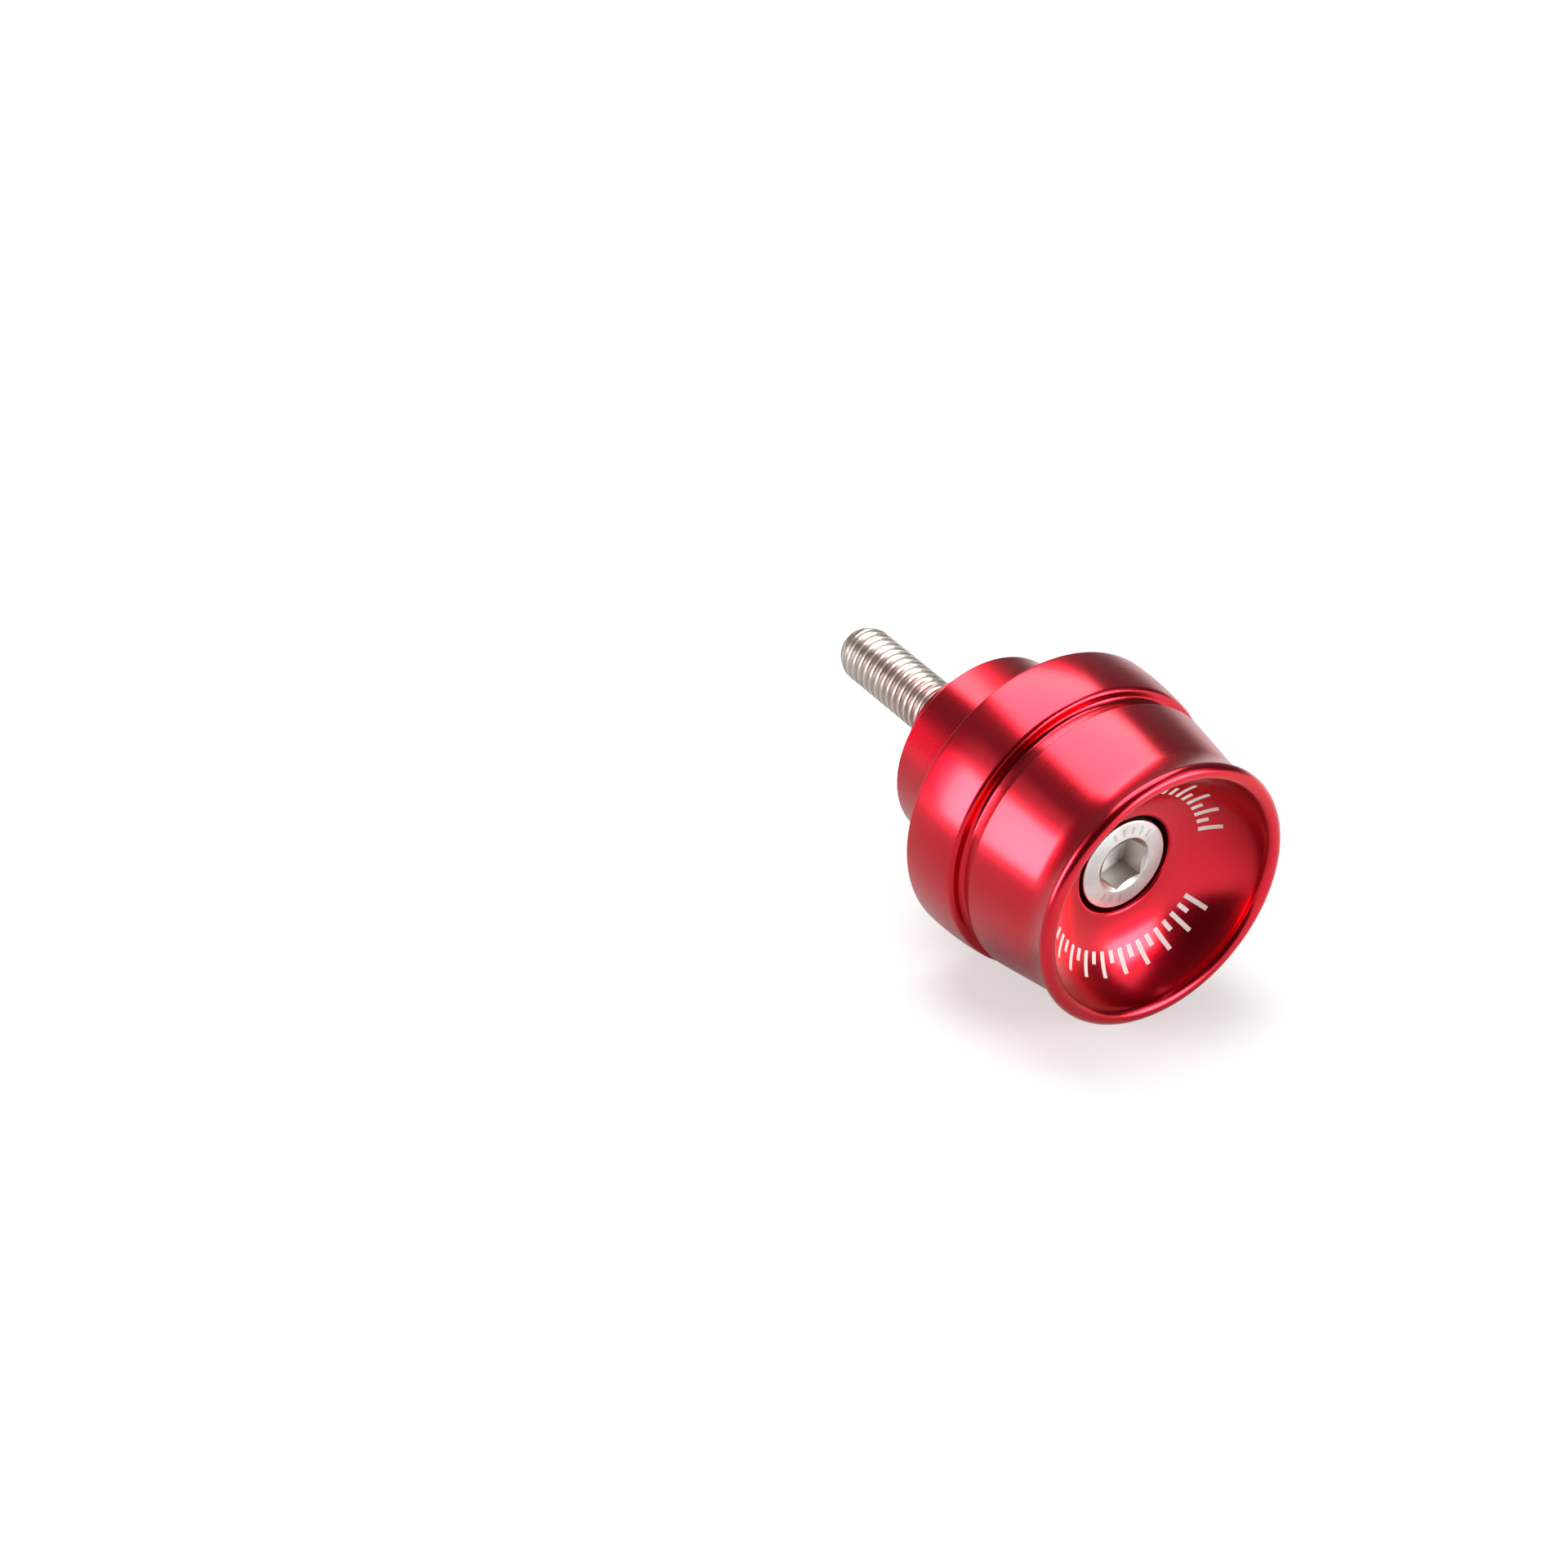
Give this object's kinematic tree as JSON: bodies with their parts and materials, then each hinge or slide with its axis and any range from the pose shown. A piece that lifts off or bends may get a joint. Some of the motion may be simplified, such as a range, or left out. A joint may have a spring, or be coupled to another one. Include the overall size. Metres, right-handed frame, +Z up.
{
  "type": "bar end weight",
  "caption": "Turned bar end weight with a flared ring, a polished groove and a cupped front, held by a socket head screw down its middle.",
  "frame": {"origin": "centre of the flat face that butts against the end of the handlebar, on the axis of the weight", "axes": "+X along the axis of the weight, out of the cup and away from the handlebar, +Z up, +Y across"},
  "size_m": [0.0516, 0.032, 0.032],
  "materials": {
    "anodised_red": "turned and anodised bright red, finely brushed round its axis, with a polished groove and rim",
    "stainless": "bright stainless steel"
  },
  "bodies": {
    "root": {"weight_body": "anodised_red", "socket_screw": "stainless"}
  },
  "joints": []
}
